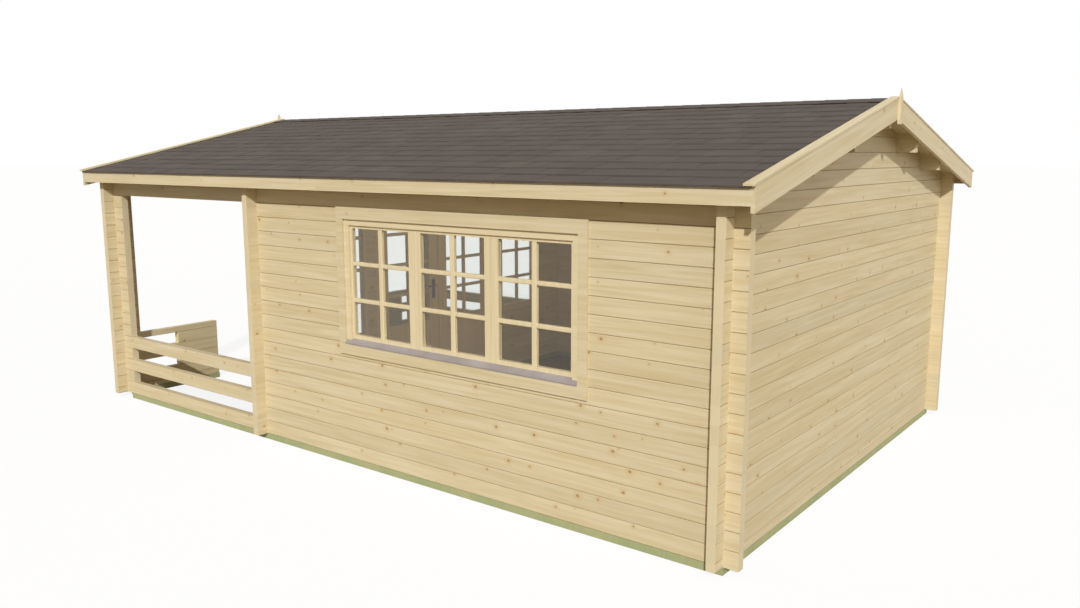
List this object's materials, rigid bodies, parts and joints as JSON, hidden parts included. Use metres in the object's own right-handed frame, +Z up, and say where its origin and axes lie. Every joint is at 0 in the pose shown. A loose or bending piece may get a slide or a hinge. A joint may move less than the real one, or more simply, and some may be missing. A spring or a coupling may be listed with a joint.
{
  "type": "log cabin with a covered front veranda",
  "caption": "Log cabin with notched corners, a covered veranda with log railings, glazed double doors, a wide side window and a shingled gable roof.",
  "frame": {"origin": "on the ground under the middle of the roof", "axes": "+Z up, the veranda and doors face -Y, the side with the wide window faces +X"},
  "size_m": [4.63, 6.885, 2.823],
  "materials": {
    "boards": "planed pine boards, bare wood",
    "drip_sill": "grey coated metal",
    "fittings": "dull brushed steel",
    "glass": "clear float glass",
    "joinery": "planed pine frames and sashes, bare wood",
    "logs": "machined pine logs, bare wood",
    "shingle": "bitumen shingle with grey brown mineral grains",
    "treated_beam": "pressure treated softwood, green tint"
  },
  "bodies": {
    "cabin": {"barge_front_left": "boards", "barge_front_right": "boards", "barge_rear_left": "boards", "barge_rear_right": "boards", "door_frame": "joinery", "fascias": "boards", "finials": "boards", "foundation_cross": "treated_beam", "foundation_sides": "treated_beam", "front_gable": "logs", "front_rails_left": "logs", "front_rails_right": "logs", "left_wall": "logs", "left_wall_plate": "logs", "partition_gable": "logs", "partition_lower": "logs", "partition_posts": "logs", "partition_sides": "logs", "partition_sill": "logs", "porch_window_glass": "glass", "porch_windows": "joinery", "post_left": "logs", "post_right": "logs", "purlins": "logs", "rear_gable": "logs", "right_wall_front": "logs", "right_wall_head": "logs", "right_wall_lower": "logs", "right_wall_plate": "logs", "right_wall_rear": "logs", "roof_deck_left": "boards", "roof_deck_right": "boards", "shingles_left": "shingle", "shingles_right": "shingle", "side_rails_left": "logs", "side_rails_right": "logs", "side_window_frame": "joinery", "side_window_glass": "glass", "side_window_sashes": "joinery", "side_window_sill": "drip_sill", "side_window_trim": "boards"},
    "right_door": {"door_glass_right": "glass", "door_handles": "fittings", "door_leaf_right": "joinery"},
    "left_door": {"door_glass_left": "glass", "door_leaf_left": "joinery"}
  },
  "joints": [
    {"name": "right_door_hinge", "type": "hinge", "parent": "cabin", "child": "right_door", "pos_m": [0.78, -1.0565, 1], "axis": [0, 0, 1], "range_deg": [0, 100]},
    {"name": "left_door_hinge", "type": "hinge", "parent": "cabin", "child": "left_door", "pos_m": [-0.82, -1.0565, 1], "axis": [0, 0, -1], "range_deg": [0, 100]}
  ]
}
